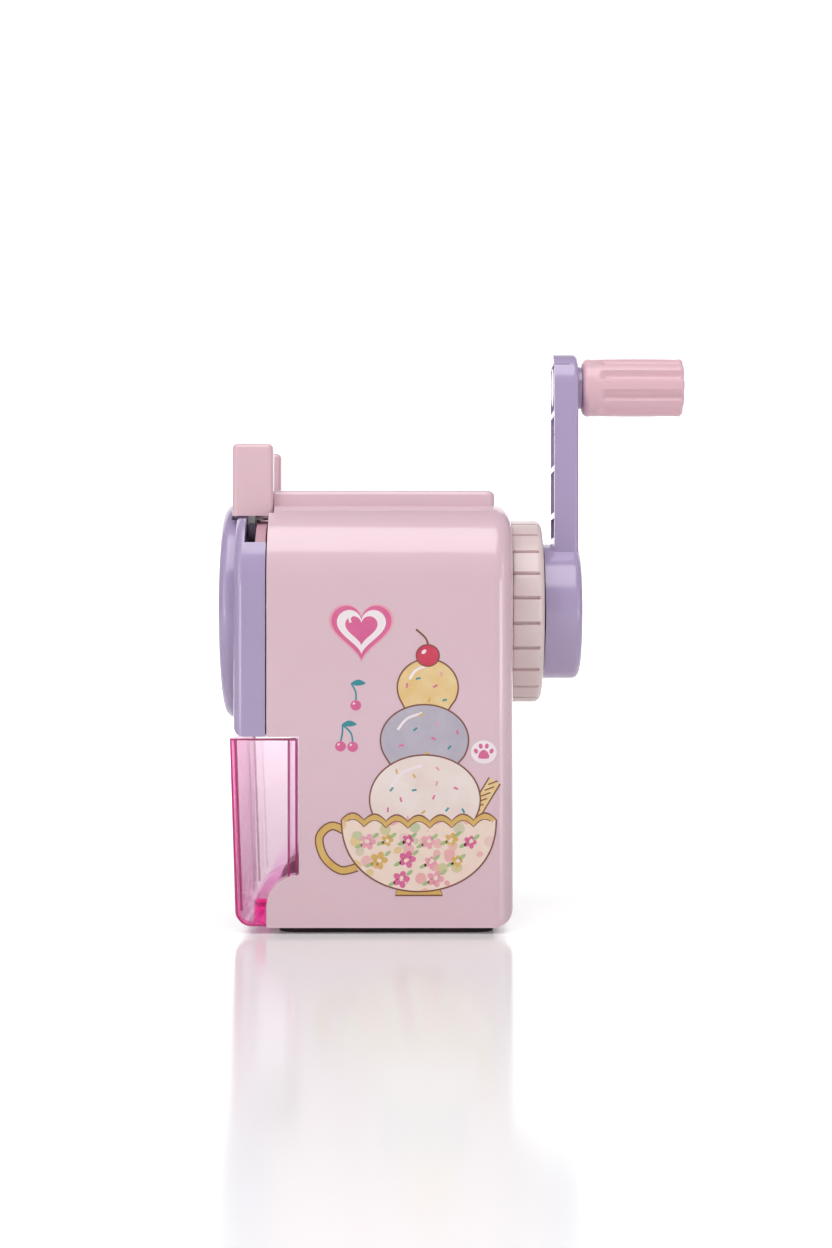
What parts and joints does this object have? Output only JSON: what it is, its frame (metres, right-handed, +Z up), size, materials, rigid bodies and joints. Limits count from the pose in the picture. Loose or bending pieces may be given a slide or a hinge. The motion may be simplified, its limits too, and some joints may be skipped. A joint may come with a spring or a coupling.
{
  "type": "hand-crank pencil sharpener",
  "caption": "Hand-crank pencil sharpener with pinch-lever chuck on a sliding sprung front, clear shavings drawer, ribbed rear cap and side crank with spinning knob.",
  "frame": {"origin": "under the middle of the body, on the surface that the sharpener stands on", "axes": "+Z up; +X along the pencil towards the crank; +Y to the far side when the pencil hole is on the left"},
  "size_m": [0.1023, 0.055, 0.1265],
  "materials": {
    "body_pink": "gloss moulded ABS",
    "cap_pink": "gloss moulded ABS",
    "knob_pink": "satin moulded ABS",
    "plate_pink": "moulded ABS",
    "lavender": "gloss moulded ABS",
    "cream_plastic": "satin moulded ABS",
    "clear_pink": "transparent magenta-pink polystyrene",
    "pad_black": "black foam rubber",
    "jaw_rubber": "moulded rubber",
    "steel": "plated steel",
    "spring_steel": "bright spring wire",
    "tool_steel": "ground tool steel",
    "cast_metal": "die cast zinc alloy",
    "brass": "turned brass"
  },
  "bodies": {
    "housing": {"housing": "body_pink", "base_pad": "pad_black", "front_guide_plate": "plate_pink", "guide_plate_screws": "steel", "pencil_guide_bush": "cream_plastic", "rod_bushes": "brass", "feed_spring_left": "spring_steel", "feed_spring_right": "spring_steel"},
    "carriage": {"front_cover": "lavender", "chuck_plate": "plate_pink", "cover_screws": "steel", "lever_pivots": "steel", "guide_rods": "steel", "rod_clips": "steel", "lever_spring": "spring_steel"},
    "lever_left": {"lever_plate_left": "steel", "jaw_pad_left": "jaw_rubber", "finger_cap_left": "cap_pink"},
    "lever_right": {"lever_plate_right": "steel", "jaw_pad_right": "jaw_rubber", "finger_cap_right": "cap_pink"},
    "drawer": {"drawer": "clear_pink"},
    "rear_cap": {"rear_cap": "cream_plastic", "cap_screws": "steel", "bayonet_flange": "cream_plastic", "ring_gear": "cream_plastic", "rear_bush": "brass"},
    "crank": {"crank": "lavender", "crank_screw": "steel", "hub_cap": "lavender", "drive_shaft": "steel", "cutter_carrier": "cast_metal", "cutter_axle": "steel", "point_stop": "steel", "knob_spindle": "steel"},
    "cutter": {"helical_cutter": "tool_steel", "cutter_pinion": "brass"},
    "knob": {"knob": "knob_pink", "knob_plug": "knob_pink"}
  },
  "joints": [
    {"name": "front_pull", "type": "slide", "parent": "housing", "child": "carriage", "axis": [-1, 0, 0], "range_m": [0, 0.03], "stiffness_N_per_m": 120, "springref_m": -0.02, "deforming": ["feed_spring_left", "feed_spring_right"]},
    {"name": "lever_pinch", "type": "hinge", "parent": "carriage", "child": "lever_left", "pos_m": [-0.03025, 0.0095, 0.084], "axis": [1, 0, 0], "range_deg": [0, 16], "stiffness_Nm_per_rad": 0.05, "springref_deg": -11.46, "deforming": ["lever_spring"]},
    {"name": "lever_follow", "type": "hinge", "parent": "carriage", "child": "lever_right", "pos_m": [-0.03025, -0.0095, 0.084], "axis": [1, 0, 0], "range_deg": [-16, 0]},
    {"name": "drawer_slide", "type": "slide", "parent": "housing", "child": "drawer", "axis": [-1, 0, 0], "range_m": [0, 0.05]},
    {"name": "cap_twist", "type": "hinge", "parent": "housing", "child": "rear_cap", "pos_m": [0.0265, 0, 0.0688], "axis": [1, 0, 0], "range_deg": [0, 30]},
    {"name": "crank_turn", "type": "hinge", "parent": "rear_cap", "child": "crank", "pos_m": [0.0339, 0, 0.0688], "axis": [1, 0, 0], "continuous": true},
    {"name": "cutter_spin", "type": "hinge", "parent": "crank", "child": "cutter", "pos_m": [0.008, 0, 0.07491], "axis": [0.9816, 0, -0.1908], "continuous": true},
    {"name": "knob_spin", "type": "hinge", "parent": "crank", "child": "knob", "pos_m": [0.0427, 0, 0.119], "axis": [1, 0, 0], "continuous": true}
  ],
  "couplings": [
    {"joint": "lever_follow", "follows": "lever_pinch", "ratio": -1},
    {"joint": "cutter_spin", "follows": "crank_turn", "ratio": -1.8667}
  ]
}
